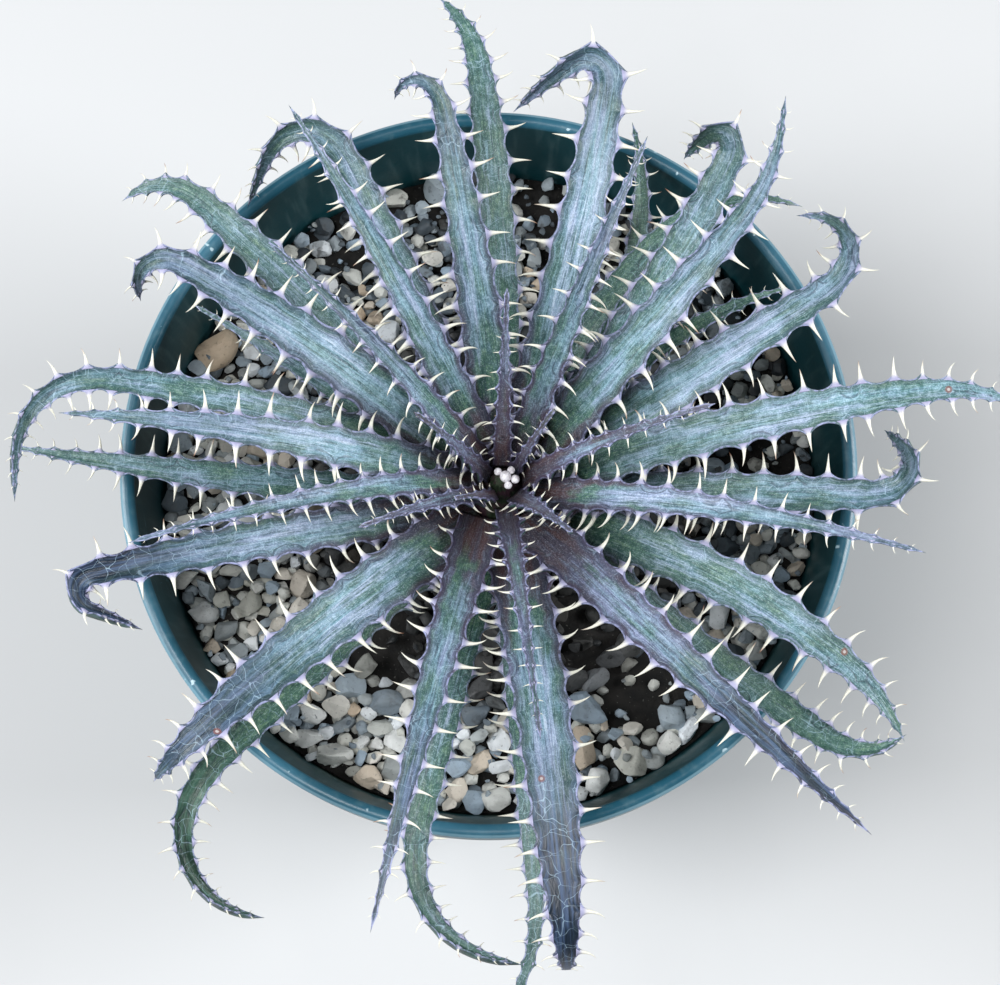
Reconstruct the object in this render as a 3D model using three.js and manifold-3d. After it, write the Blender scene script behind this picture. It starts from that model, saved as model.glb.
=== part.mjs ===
// A young dyckia, a spiny bromeliad, growing in a round plastic pot with a gravel top dressing.
// Millimetres and degrees, +Z up. The origin is the middle of the pot's flat base.

import * as THREE from 'three';
import { mergeVertices } from 'three/addons/utils/BufferGeometryUtils.js';
import Module from 'manifold-3d';

const wasm = await Module();
wasm.setup();

// ---------------------------------------------------------------- driving dimensions

// Pieces that touch keep this gap.
const CLEARANCE = 0.3;

// Sides of the small round things: the stem and the holes. Cuts run this far past what they cut.
const ROUND_SEGMENTS = 16;
const CUT_PAST = 1;

// Pot: a thin tapered tub with a thicker collar round its rim and drain holes in its floor.
const POT_HEIGHT = 115;
const RIM_RADIUS = 75;
const RIM_BAND = 2.8;
const RIM_CHAMFER = 0.5;
const COLLAR_HEIGHT = 15;
const COLLAR_TAPER = 0.4;
const WALL_TAPER = 7.4;
const WALL_THICKNESS = 2;
const FLOOR_THICKNESS = 2.6;
const FOOT_CHAMFER = 1;
const POT_SEGMENTS = 48;
const DRAIN_HOLES = 5;
const DRAIN_RADIUS = 4.5;
const DRAIN_CIRCLE = 38;

// Potting mix, and the gravel on it. The gravel lies well below the rim.
const MIX_TOP = 85;
const GRAVEL_BED_TOP = 91.5;
const PEBBLE_COUNT = 84;
const PEBBLE_RADIUS = [4.2, 5.7];
const PEBBLE_HALF_HEIGHT = [2.6, 3.4];
const PEBBLE_BREADTH = [0.75, 0.95];
const PEBBLE_SHIFT = 0.6;
const GOLDEN_ANGLE = 137.5;

// Stem: it stands in a plain hole, and its crown narrows upwards to the heart of the rosette.
const PLANT_X = 3;
const PLANT_Y = -5;
const STEM_FOOT = 68;
const STEM_RADIUS = 8;
const STEM_CHAMFER = 2;
const CROWN_FOOT = 97;
const CROWN_TOP = 130;
const CROWN_FOOT_RADIUS = 9;
const CROWN_TOP_RADIUS = 1.8;

// Leaves: they grow up the crown in a spiral, one above the other.
const FIRST_LEAF_HEIGHT = 99;
const LEAF_SPACING = 0.7;
const BEND = 1.5;
const HOOK_OVER = [0.78, 1];
const BASE_WIDTH = 0.6;
const WIDEST_AT = 0.3;
const LAST_STATION = 0.975;
const MARGIN_THICKNESS = 0.8;
const THICKNESS_OF_WIDTH = 0.2;
const CHANNEL_OF_WIDTH = 0.06;
const LEAST_THICKNESS = 0.5;
const LEAST_HALF_WIDTH = 0.5;

// Spines: flat claws in pairs on the margins, closer together and shorter towards the tip.
const SPINE_PITCH = 7.5;
const SPINES_FROM = 0.2;
const SPINES_TO = 0.95;
const SPINE_CROWDING = 0.5;
const SPINE_LENGTH = [5, 3.2];
const SMALLEST_SPINES = 0.35;
const FULL_SPINES_WIDTH = 9;
const SPINE_ROOT = [2.6, 1.1];
const SPINE_LEAN = [-25, 30];

// White feed granules lying in the heart: place round the stem's axis, and radius.
const GRANULES = [
  { x: 0.4, y: 0.2, radius: 1.2 },
  { x: 2.3, y: -0.3, radius: 0.9 },
  { x: 1.5, y: 1.5, radius: 0.8 },
  { x: -1.1, y: 1.2, radius: 0.8 },
  { x: 0.9, y: -1.5, radius: 0.8 },
];

// One row for each leaf, from the lowest on the stem to the heart.
//   azimuth  heading at the root, anticlockwise from +X
//   root     place round the stem, where that isn't the azimuth
//   rise     slope at the root; fall: how far the slope drops by the tip, spread over the leaf
//   swing    sideways turn spread over the leaf
//   hook     sideways turn near the tip; curl: further drop of the slope near the tip
//   over     shares of the length between which the hook and the curl come, where not HOOK_OVER
//   full     how long the leaf keeps its width: 1 narrows evenly, 3 stays wide
const LEAVES = [
  { azimuth: 52, length: 80, width: 6, rise: 28, fall: 40, swing: 52, full: 4 },
  { azimuth: 274.5, length: 108, width: 7, rise: 29, fall: 55, hook: -40, over: [0.66, 1], full: 2.5 },
  { azimuth: 149, length: 69, width: 6, rise: 30, fall: 35, full: 2 },
  { azimuth: 315, root: 335, length: 95, width: 7.5, rise: 31, fall: 50, swing: 16, hook: 60, full: 7 },
  { azimuth: 66.5, root: 65, length: 89, width: 6, rise: 32, fall: 50, swing: -45, hook: -35,
    over: [0.6, 1], full: 4 },
  { azimuth: 225, root: 223, length: 121, width: 7, rise: 33, fall: 60, curl: 20, hook: 130,
    over: [0.59, 1.04], full: 4 },
  { azimuth: 180.5, root: 182, length: 98, width: 8, rise: 35, fall: 55, swing: -13, full: 3 },
  { azimuth: 116, length: 107, width: 9, rise: 36, fall: 55, curl: 35, hook: 122,
    over: [0.64, 0.9], full: 3.5 },
  { azimuth: 256.5, length: 109, width: 6.5, rise: 37, fall: 60, hook: 92, over: [0.6, 1], full: 5 },
  { azimuth: 46, length: 69, width: 5, rise: 38, fall: 50, swing: -30, full: 4 },
  { azimuth: 90, length: 104, width: 8, rise: 39, fall: 65, swing: 12, hook: 30, full: 6 },
  { azimuth: 337.5, root: 338, length: 97, width: 10.5, rise: 41, fall: 65, swing: -25,
    hook: -15, full: 4 },
  { azimuth: 196, length: 108, width: 9, rise: 42, fall: 65, curl: 30, swing: -6, hook: 150,
    over: [0.77, 0.88], full: 4 },
  { azimuth: 138, length: 103, width: 9, rise: 43, fall: 65, curl: 20, hook: 65, full: 5 },
  { azimuth: 280, length: 110, width: 11.5, rise: 44, fall: 75, curl: 60, swing: -8, full: 4.5 },
  { azimuth: 47, length: 106, width: 9.5, rise: 45, fall: 65, curl: 60, swing: 27, hook: 118,
    over: [0.74, 0.87], full: 4 },
  { azimuth: 351, root: 5, length: 104, width: 9, rise: 46, fall: 70, curl: 40, swing: 12,
    hook: 112, over: [0.69, 0.91], full: 4 },
  { azimuth: 168.5, root: 145, length: 122, width: 7.8, rise: 49, fall: 74, curl: 20, swing: 10,
    hook: 85, over: [0.66, 0.95], full: 3.2 },
  { azimuth: 222, length: 101, width: 12, rise: 48, fall: 68, curl: 45, full: 4 },
  { azimuth: 69.5, root: 75, length: 113, width: 10, rise: 49, fall: 70, curl: 30, swing: 18,
    hook: 122, over: [0.73, 0.85], full: 4 },
  { azimuth: 26, root: 20, length: 105.5, width: 10.5, rise: 50, fall: 70, curl: 30, swing: 9,
    hook: 130, over: [0.7, 0.99], full: 3 },
  { azimuth: 309.5, length: 109, width: 10, rise: 51, fall: 68, swing: 10, full: 2.5 },
  { azimuth: 147, root: 146, length: 101, width: 11, rise: 52, fall: 70, curl: 60, swing: 6,
    hook: 118, over: [0.78, 0.98], full: 3.5 },
  { azimuth: 256.5, root: 230, length: 103, width: 9.5, rise: 53, fall: 68, full: 1.8 },
  { azimuth: 8, length: 112, width: 9, rise: 54, fall: 74, hook: -25, full: 4.5 },
  { azimuth: 98, root: 99, length: 99, width: 9.5, rise: 55, fall: 74, curl: 60, swing: 6,
    hook: 120, full: 3 },
  { azimuth: 175.5, root: 167, length: 96, width: 9.4, rise: 56, fall: 70, full: 2.5 },
  { azimuth: 41, length: 103, width: 10.5, rise: 57, fall: 70, swing: 12, hook: 28,
    over: [0.7, 0.95], full: 2.2 },
  { azimuth: 345.5, length: 95, width: 7.5, rise: 58, fall: 66, full: 2 },
  { azimuth: 121, length: 92, width: 9.2, rise: 59, fall: 66, swing: 2, full: 1.7 },
  { azimuth: 277, length: 71, width: 5.2, rise: 60, fall: 44, full: 1.5 },
  { azimuth: 198, root: 166, length: 89, width: 6, rise: 61, fall: 58, full: 2 },
  { azimuth: 64, length: 82, width: 7, rise: 62, fall: 52, swing: 2, full: 2 },
  { azimuth: 140, length: 78, width: 6.5, rise: 64, fall: 48, full: 1.7 },
  { azimuth: 207, length: 44, width: 4.5, rise: 65, fall: 35, full: 1.5 },
  { azimuth: 10, root: 14, length: 60, width: 5, rise: 67, fall: 38, full: 1.4 },
  { azimuth: 88, root: 95, length: 50, width: 4.2, rise: 69, fall: 30, full: 1.6 },
  { azimuth: 311, length: 36, width: 4.5, rise: 71, fall: 22, full: 1.5 },
  { azimuth: 155, length: 36, width: 3.6, rise: 72, fall: 20, full: 1.5 },
  { azimuth: 46, root: 44, length: 27, width: 2.6, rise: 73, fall: 18, full: 1.5 },
  { azimuth: 205, root: 240, length: 20, width: 2.6, rise: 70, fall: 15, full: 1.5 },
];

// Finishes. The lower leaves are plainer green, and the young ones in the heart purple.
const TEAL_PLASTIC = { color: 0x3f7f92, roughness: 0.45 };
const DARK_MIX = { color: 0x1d1712, roughness: 1 };
const PALE_STONE = { color: 0xb3a692, roughness: 0.85 };
const PALE_STEM = { color: 0x8f8a64, roughness: 0.8 };
const WHITE_GRANULE = { color: 0xe6e4dc, roughness: 0.7 };
const GREEN_LEAF = { color: 0x5f8a7c, roughness: 0.6 };
const SILVERY_LEAF = { color: 0x7f9aa3, roughness: 0.6 };
const PURPLE_LEAF = { color: 0x75607c, roughness: 0.6 };
const FIRST_SILVERY_LEAF = 15;
const FIRST_PURPLE_LEAF = 35;

// ---------------------------------------------------------------- helpers

const radians = THREE.MathUtils.degToRad;
const between = ([from, to], share) => THREE.MathUtils.lerp(from, to, share);

/** A seeded random source, so that every build gives the same stones. */
function seededRandom(seed) {
  let state = seed;
  return () => {
    state = (state + 0x6d2b79f5) | 0;
    let mixed = Math.imul(state ^ (state >>> 15), 1 | state);
    mixed = (mixed + Math.imul(mixed ^ (mixed >>> 7), 61 | mixed)) ^ mixed;
    return ((mixed ^ (mixed >>> 14)) >>> 0) / 4294967296;
  };
}

/** A closed mesh as a solid for joining and cutting. */
function toSolid(geometry) {
  const bare = geometry.index ? geometry.toNonIndexed() : geometry.clone();
  bare.deleteAttribute('normal');
  bare.deleteAttribute('uv');
  const merged = mergeVertices(bare, 1e-4);
  return new wasm.Manifold(new wasm.Mesh({
    numProp: 3,
    vertProperties: new Float32Array(merged.attributes.position.array),
    triVerts: new Uint32Array(merged.index.array),
  }));
}

/** A solid back as a mesh geometry. */
function toGeometry(solid) {
  const { vertProperties, triVerts } = solid.getMesh();
  return indexedGeometry(vertProperties, triVerts);
}

/** A geometry from a flat list of coordinates and one of corner numbers. */
function indexedGeometry(coordinates, corners) {
  const geometry = new THREE.BufferGeometry();
  geometry.setAttribute('position', new THREE.BufferAttribute(new Float32Array(coordinates), 3));
  geometry.setIndex(new THREE.BufferAttribute(new Uint32Array(corners), 1));
  geometry.computeVertexNormals();
  return geometry;
}

/** A profile of [radius, height] points turned round the vertical axis through (x, y). */
function turned(profile, segments, x = 0, y = 0) {
  const points = profile.map(([radius, height]) => new THREE.Vector2(radius, height));
  return new THREE.LatheGeometry(points, segments).rotateX(Math.PI / 2).translate(x, y, 0);
}

/** A vertical peg through (x, y), for cutting round holes. */
function peg(x, y, radius, bottom, top) {
  return toSolid(new THREE.CylinderGeometry(radius, radius, top - bottom, ROUND_SEGMENTS)
    .rotateX(Math.PI / 2)
    .translate(x, y, (bottom + top) / 2));
}

/** A piece of the object. */
function named(name, geometry, finish) {
  const mesh = new THREE.Mesh(geometry, new THREE.MeshStandardMaterial(finish));
  mesh.name = name;
  return mesh;
}

// ---------------------------------------------------------------- pot and filling

/** Inner radius of the pot at a height. */
function innerRadius(height) {
  return RIM_RADIUS - RIM_BAND - (POT_HEIGHT - height) * Math.tan(radians(WALL_TAPER));
}

function potGeometry() {
  const outer = (height) => innerRadius(height) + WALL_THICKNESS;
  const collarFoot = POT_HEIGHT - COLLAR_HEIGHT;
  let pot = toSolid(turned([
    [0, 0],
    [outer(0) - FOOT_CHAMFER, 0],
    [outer(FOOT_CHAMFER), FOOT_CHAMFER],
    [outer(collarFoot), collarFoot],
    [RIM_RADIUS - COLLAR_TAPER, collarFoot],
    [RIM_RADIUS, POT_HEIGHT - RIM_CHAMFER],
    [RIM_RADIUS - RIM_CHAMFER, POT_HEIGHT],
    [RIM_RADIUS - RIM_BAND + RIM_CHAMFER, POT_HEIGHT],
    [innerRadius(POT_HEIGHT - RIM_CHAMFER), POT_HEIGHT - RIM_CHAMFER],
    [innerRadius(FLOOR_THICKNESS), FLOOR_THICKNESS],
    [0, FLOOR_THICKNESS],
  ], POT_SEGMENTS));
  for (let i = 0; i < DRAIN_HOLES; i += 1) {
    const angle = (i / DRAIN_HOLES) * 2 * Math.PI;
    const x = DRAIN_CIRCLE * Math.cos(angle);
    const y = DRAIN_CIRCLE * Math.sin(angle);
    pot = pot.subtract(peg(x, y, DRAIN_RADIUS, -CUT_PAST, FLOOR_THICKNESS + CUT_PAST));
  }
  return toGeometry(pot);
}

/** What is cut out of the filling for the stem, down to a height. */
function stemHole(bottom) {
  return peg(PLANT_X, PLANT_Y, STEM_RADIUS + CLEARANCE, bottom, POT_HEIGHT);
}

/** The potting mix fills the pot up to the gravel, with a blind hole for the stem. */
function mixGeometry() {
  const foot = FLOOR_THICKNESS + CLEARANCE;
  const body = toSolid(turned([
    [0, foot],
    [innerRadius(foot) - CLEARANCE, foot],
    [innerRadius(MIX_TOP) - CLEARANCE, MIX_TOP],
    [0, MIX_TOP],
  ], POT_SEGMENTS));
  return toGeometry(body.subtract(stemHole(STEM_FOOT - CLEARANCE)));
}

/** One rounded stone, flatter than it is wide, turned at random. */
function pebble(x, y, random) {
  const radius = between(PEBBLE_RADIUS, random());
  const halfHeight = between(PEBBLE_HALF_HEIGHT, random());
  const stone = new THREE.IcosahedronGeometry(1, 0)
    .rotateX(random() * Math.PI)
    .rotateZ(random() * Math.PI)
    .scale(radius, radius * between(PEBBLE_BREADTH, random()), halfHeight)
    .rotateZ(random() * Math.PI);
  return toSolid(stone.translate(x, y, GRAVEL_BED_TOP));
}

/** A bed of gravel: stones set evenly in a spiral, standing half out of the layer below them. */
function gravelGeometry() {
  const random = seededRandom(7);
  const foot = MIX_TOP + CLEARANCE;
  let gravel = toSolid(turned([
    [0, foot],
    [innerRadius(foot) - CLEARANCE, foot],
    [innerRadius(GRAVEL_BED_TOP) - CLEARANCE, GRAVEL_BED_TOP],
    [0, GRAVEL_BED_TOP],
  ], POT_SEGMENTS));
  const reach = innerRadius(GRAVEL_BED_TOP) - PEBBLE_RADIUS[1] - PEBBLE_SHIFT - CLEARANCE;
  for (let i = 0; i < PEBBLE_COUNT; i += 1) {
    const distance = reach * Math.sqrt((i + 0.5) / (PEBBLE_COUNT - 0.5));
    const angle = radians(i * GOLDEN_ANGLE);
    const x = distance * Math.cos(angle) + PEBBLE_SHIFT * (random() - 0.5);
    const y = distance * Math.sin(angle) + PEBBLE_SHIFT * (random() - 0.5);
    const toStem = Math.hypot(x - PLANT_X, y - PLANT_Y);
    if (toStem > CROWN_FOOT_RADIUS + PEBBLE_RADIUS[1]) {
      gravel = gravel.add(pebble(x, y, random));
    }
  }
  return toGeometry(gravel.subtract(stemHole(MIX_TOP - CUT_PAST)));
}

// ---------------------------------------------------------------- plant

/** Finish of a leaf, numbered from 1. */
function leafFinish(number) {
  if (number >= FIRST_PURPLE_LEAF) return PURPLE_LEAF;
  return number >= FIRST_SILVERY_LEAF ? SILVERY_LEAF : GREEN_LEAF;
}

/** Radius of the crown at a height. */
function crownRadius(height) {
  const share = (height - CROWN_FOOT) / (CROWN_TOP - CROWN_FOOT);
  return between([CROWN_FOOT_RADIUS, CROWN_TOP_RADIUS], share);
}

function stemGeometry() {
  return turned([
    [0, STEM_FOOT],
    [STEM_RADIUS - STEM_CHAMFER, STEM_FOOT],
    [STEM_RADIUS, STEM_FOOT + STEM_CHAMFER],
    [STEM_RADIUS, CROWN_FOOT - STEM_CHAMFER],
    [CROWN_FOOT_RADIUS, CROWN_FOOT],
    [CROWN_TOP_RADIUS, CROWN_TOP],
    [0, CROWN_TOP],
  ], ROUND_SEGMENTS, PLANT_X, PLANT_Y);
}

/** The midline of a leaf: place and directions at each share of its length. */
function midline(leaf, rootHeight) {
  const { azimuth, length, rise, fall, root = azimuth, swing = 0 } = leaf;
  const { hook = 0, curl = 0, over = HOOK_OVER } = leaf;
  const late = (t) => THREE.MathUtils.smoothstep(t, ...over);
  const slope = (t) => radians(rise - fall * t ** BEND - curl * late(t));
  const heading = (t) => radians(azimuth + swing * t ** BEND + hook * late(t));
  // A leaf set askew on the stem stands out by what its near corner would cut into it.
  const askew = halfWidth(leaf, 0) * Math.abs(Math.sin(radians(azimuth - root)));
  const rootRadius = crownRadius(rootHeight) + CLEARANCE + askew;
  const place = new THREE.Vector3(
    PLANT_X + rootRadius * Math.cos(radians(root)),
    PLANT_Y + rootRadius * Math.sin(radians(root)),
    rootHeight,
  );
  const along = (t) => new THREE.Vector3(
    Math.cos(slope(t)) * Math.cos(heading(t)),
    Math.cos(slope(t)) * Math.sin(heading(t)),
    Math.sin(slope(t)),
  );
  const steps = 200;
  const places = [place.clone()];
  for (let i = 0; i < steps; i += 1) {
    place.addScaledVector(along((i + 0.5) / steps), length / steps);
    places.push(place.clone());
  }
  return (t) => {
    const step = Math.min(Math.floor(t * steps), steps - 1);
    const side = new THREE.Vector3(-Math.sin(heading(t)), Math.cos(heading(t)), 0);
    return {
      place: places[step].clone().lerp(places[step + 1], t * steps - step),
      along: along(t),
      side,
      up: along(t).cross(side),
    };
  };
}

/** Half the leaf's width at a share of its length. */
function halfWidth(leaf, t) {
  const spread = THREE.MathUtils.smoothstep(t, 0, WIDEST_AT);
  return 0.5 * leaf.width * between([BASE_WIDTH, 1], spread) * (1 - t ** leaf.full);
}

/** Shares of the length where spines grow, closing up towards the tip. */
function spinePlaces(leaf) {
  const count = Math.max(3, Math.round(leaf.length * (SPINES_TO - SPINES_FROM) / SPINE_PITCH));
  return Array.from({ length: count }, (_, i) => {
    const share = i / (count - 1);
    const crowded = (1 + SPINE_CROWDING) * share - SPINE_CROWDING * share * share;
    return between([SPINES_FROM, SPINES_TO], crowded);
  });
}

/** Size of a leaf's spines: narrow leaves have smaller ones. */
function spineScale(leaf) {
  return between([SMALLEST_SPINES, 1], Math.min(leaf.width / FULL_SPINES_WIDTH, 1));
}

/**
 * A leaf: a thick blade, channelled above and keeled below, with a pair of spines at each place
 * and a sharp tip. Each ring of the blade has six corners, and the two at a margin carry a spine.
 */
function leafGeometry(leaf, rootHeight) {
  const frameAt = midline(leaf, rootHeight);
  const coordinates = [];
  const corners = [];
  const addPoint = (point) => coordinates.push(point.x, point.y, point.z) / 3 - 1;

  const addRing = (t) => {
    const { place, side, up } = frameAt(t);
    const half = Math.max(halfWidth(leaf, t), LEAST_HALF_WIDTH);
    const thick = LEAST_THICKNESS + THICKNESS_OF_WIDTH * 2 * half;
    const channel = CHANNEL_OF_WIDTH * 2 * half;
    const corner = (across, above) => addPoint(
      place.clone().addScaledVector(side, across).addScaledVector(up, above),
    );
    return {
      t,
      half,
      corners: [
        corner(half, MARGIN_THICKNESS / 2),
        corner(0, MARGIN_THICKNESS / 2 - channel),
        corner(-half, MARGIN_THICKNESS / 2),
        corner(-half, -MARGIN_THICKNESS / 2),
        corner(0, -MARGIN_THICKNESS / 2 - thick),
        corner(half, -MARGIN_THICKNESS / 2),
      ],
    };
  };

  const spines = spinePlaces(leaf);
  const rings = [addRing(0), addRing(SPINES_FROM / 2)];
  spines.forEach((t, i) => {
    const share = i / (spines.length - 1);
    const reach = between(SPINE_ROOT, share) * spineScale(leaf) / leaf.length / 2;
    rings.push(addRing(t - reach), addRing(t + reach));
  });
  rings.push(addRing(LAST_STATION));

  // The tip of a spine, out from the margin on one side (+1 left, -1 right).
  const spineTip = (index, direction) => {
    const share = index / (spines.length - 1);
    const { place, along, side } = frameAt(spines[index]);
    const lean = radians(between(SPINE_LEAN, share));
    const length = between(SPINE_LENGTH, share) * spineScale(leaf);
    return addPoint(place.clone()
      .addScaledVector(side, direction * (halfWidth(leaf, spines[index]) + length * Math.cos(lean)))
      .addScaledVector(along, length * Math.sin(lean)));
  };

  // Strips between two rings. Both faces of the blade are split along the same diagonal.
  const split = (a, b, c, d, rising) => (rising ? [a, c, b, a, d, c] : [a, d, b, b, d, c]);
  for (let i = 0; i + 1 < rings.length; i += 1) {
    const near = rings[i].corners;
    const far = rings[i + 1].corners;
    const strip = (from, to, rising) => corners.push(
      ...split(near[from], near[to], far[to], far[from], rising),
    );
    strip(1, 0, true);
    strip(2, 1, false);
    strip(4, 3, true);
    strip(5, 4, false);
    const spine = i >= 2 && i % 2 === 0 && i / 2 <= spines.length ? i / 2 - 1 : -1;
    for (const [from, to, direction] of [[0, 5, 1], [3, 2, -1]]) {
      if (spine < 0) {
        strip(from, to, true);
      } else {
        const tip = spineTip(spine, direction);
        const loop = [near[from], near[to], far[to], far[from]];
        loop.forEach((point, k) => corners.push(loop[(k + 1) % 4], point, tip));
      }
    }
  }

  // The flat root, in a fan from the bottom of the channel, and the sharp tip.
  const root = rings[0].corners;
  for (let k = 2; k < 6; k += 1) {
    corners.push(root[1], root[(k + 1) % 6], root[k]);
  }
  const end = rings[rings.length - 1].corners;
  const tip = addPoint(frameAt(1).place);
  for (let k = 0; k < 6; k += 1) {
    corners.push(end[k], end[(k + 1) % 6], tip);
  }
  return indexedGeometry(coordinates, corners);
}

/** The granules lie together on top of the crown, just sunk into each other. */
function granulesGeometry() {
  const grains = GRANULES.map(({ x, y, radius }) => toSolid(
    new THREE.IcosahedronGeometry(radius, 1)
      .translate(PLANT_X + x, PLANT_Y + y, CROWN_TOP + CLEARANCE + radius),
  ));
  return toGeometry(grains.reduce((heap, grain) => heap.add(grain)));
}

// ---------------------------------------------------------------- the whole object

const dyckia = new THREE.Group();
dyckia.add(
  named('pot', potGeometry(), TEAL_PLASTIC),
  named('potting_mix', mixGeometry(), DARK_MIX),
  named('gravel', gravelGeometry(), PALE_STONE),
  named('stem', stemGeometry(), PALE_STEM),
);
LEAVES.forEach((leaf, i) => {
  const name = `leaf_${String(i + 1).padStart(2, '0')}`;
  const geometry = leafGeometry(leaf, FIRST_LEAF_HEIGHT + i * LEAF_SPACING);
  dyckia.add(named(name, geometry, leafFinish(i + 1)));
});
dyckia.add(named('granules', granulesGeometry(), WHITE_GRANULE));

export default dyckia;
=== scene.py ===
"""A young dyckia, a spiny bromeliad, growing in a round plastic pot with a gravel top dressing.

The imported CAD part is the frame. Each CAD leaf is replaced by a finer one of the same form, with
scalloped margins, curved spines and a scurfy skin. The pot, gravel, stem and granules are
replaced by finer ones too. Sizes here are millimetres and degrees; meshes are written in metres.
"""
import random
from dataclasses import dataclass
from math import cos, dist, exp, hypot, pi, radians, sin, sqrt, tan

import bmesh
import bpy
import numpy as np
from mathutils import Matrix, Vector, noise


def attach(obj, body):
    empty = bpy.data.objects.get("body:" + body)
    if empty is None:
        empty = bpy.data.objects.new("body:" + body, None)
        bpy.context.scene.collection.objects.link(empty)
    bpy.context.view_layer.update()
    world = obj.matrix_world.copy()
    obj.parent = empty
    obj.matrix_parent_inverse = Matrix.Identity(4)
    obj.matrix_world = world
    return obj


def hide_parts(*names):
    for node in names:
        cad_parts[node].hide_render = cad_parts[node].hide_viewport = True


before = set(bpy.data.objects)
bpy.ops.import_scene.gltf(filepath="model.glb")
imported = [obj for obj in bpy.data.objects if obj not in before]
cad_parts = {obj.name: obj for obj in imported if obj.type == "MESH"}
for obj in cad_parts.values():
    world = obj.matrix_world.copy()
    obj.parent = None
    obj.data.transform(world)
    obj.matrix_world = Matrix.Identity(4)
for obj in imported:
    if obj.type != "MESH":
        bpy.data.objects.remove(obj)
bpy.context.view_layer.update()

# -------- sizes shared with the CAD

MM = 0.001

POT_HEIGHT = 115
RIM_RADIUS = 75
RIM_BAND = 2.8
COLLAR_HEIGHT = 15
COLLAR_TAPER = 0.4
WALL_TAPER = 7.4
WALL_THICKNESS = 2
FLOOR_THICKNESS = 2.6
FOOT_CHAMFER = 1
DRAIN_HOLES = 5
DRAIN_RADIUS = 4.5
DRAIN_CIRCLE = 38
CLEARANCE = 0.3
MIX_TOP = 85

PLANT_X = 3
PLANT_Y = -5
STEM_FOOT = 68
STEM_RADIUS = 8
CROWN_FOOT = 97
CROWN_TOP = 130
CROWN_FOOT_RADIUS = 9
CROWN_TOP_RADIUS = 1.8

FIRST_LEAF_HEIGHT = 99
LEAF_SPACING = 0.7
BEND = 1.5
HOOK_OVER = (0.78, 1)
BASE_WIDTH = 0.6
WIDEST_AT = 0.3
MARGIN_THICKNESS = 0.8
LEAST_THICKNESS = 0.5
THICKNESS_OF_WIDTH = 0.2
CHANNEL_OF_WIDTH = 0.06
LEAST_HALF_WIDTH = 0.5
MIDLINE_STEPS = 200
SMALLEST_SPINES = 0.35

# -------- sizes of the finer pieces

# Leaf: rings along it, closer at each spine, and points across its faces.
RING_SPACING = 1.0
RINGS_AT_SPINE = (-1.4, -0.85, -0.4, 0, 0.4, 0.85, 1.4)
LEAST_RING_GAP = 0.22
POINTS_ABOVE = 11
POINTS_BELOW = 7
SHEATH_WIDTH = 1.08

# Tip: its last ring, its start and end, what is left of its width and thickness, and how far
# inside the margin its skin is taken to be.
LAST_RING = 0.995
TIP_FROM = 0.955
TIP_TO = 1.001
TIP_WIDTH = 0.08
TIP_THICKNESS = 0.2
TIP_INSET = 0.5

# Section: the margin's thickness and how far its middle stands out, how late the top, channel,
# fold and keel curve towards the margins, and where along the leaf the fold sets in.
EDGE_THICKNESS = 0.5
EDGE_REACH = 1.04
TOP_CURVE = 4
CHANNEL_CURVE = 1.7
FOLD_CURVE = 1.4
KEEL_CURVE = (2.2, 0.8)
FOLD_OVER = (0.3, 0.8)

# Each leaf's skin is the next slice of the same noise.
SKIN_SLICE = 7.3

# Spines, closer and shorter towards the tip. Pairs are for the first and last spine of a leaf, or
# for the least and the most.
LEAF_SEED = 100
SPINE_PITCH = 6.0
SPINE_CROWDING = 0.25
SPINE_SHIFT = (0.2, 0.08)
SPINES_FROM = 0.1
SPINES_TO = 0.965
SPINE_LENGTH = 3.6
SPINE_SHORTENING = 0.35
SPINE_LENGTHS = (0.85, 1.12)
SPINE_LEAN = (-42, 38)
SPINE_LEAN_SPREAD = 8
SPINE_LIFT = (-4, 18)
SPINE_ROOT_DEPTH = 0.5

# Full spines need a leaf this wide. Where the blade is narrow they go down to a share.
FULL_SPINES_WIDTH = 10
NARROW_BLADE = 4.5
NARROW_SPINES = 0.45

# A spine: the shares of its lean at the foot and added by the tip, its rings, its thickness and
# flared foot as shares of its length, and its greatest half depth.
SPINE_HOOK = (0.1, 1.7)
SPINE_SIDES = 10
SPINE_RINGS = (0, 0.08, 0.17, 0.28, 0.42, 0.58, 0.75, 0.9)
SPINE_BODY = 0.1
SPINE_TAPER = 0.85
SPINE_FLARE = 0.19
SPINE_FLARE_LENGTH = 0.12
SPINE_DEPTH = 0.45

# Margins: a peak at each spine, a hollow between two, and one that sets in past the end ones.
SCALLOP_PEAK = 1.2
SCALLOP_DEPTH = 0.75
SCALLOP_ROUNDNESS = 0.7
SCALLOP_FADE = 0.02
FULL_SCALLOP_WIDTH = 7

# Pot: the crown of its rim, the rim's outer edge (in from its radius, down from its top), the foot
# ring, and the small roundings of its edges.
POT_SEGMENTS = 240
RIM_CROWN = 0.6
RIM_STEPS = 13
RIM_EASE = 0.08
RIM_EDGE = ((0.02, 1.1), (0, 0.8))
FOOT_RING = 3.4
FOOT_RECESS = 0.6
POT_EASE = 0.4
AXIS_GAP = 0.01
SHARP_EDGE = 35
DRAIN_SEGMENTS = 32
DRAIN_CUT = 20

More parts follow.
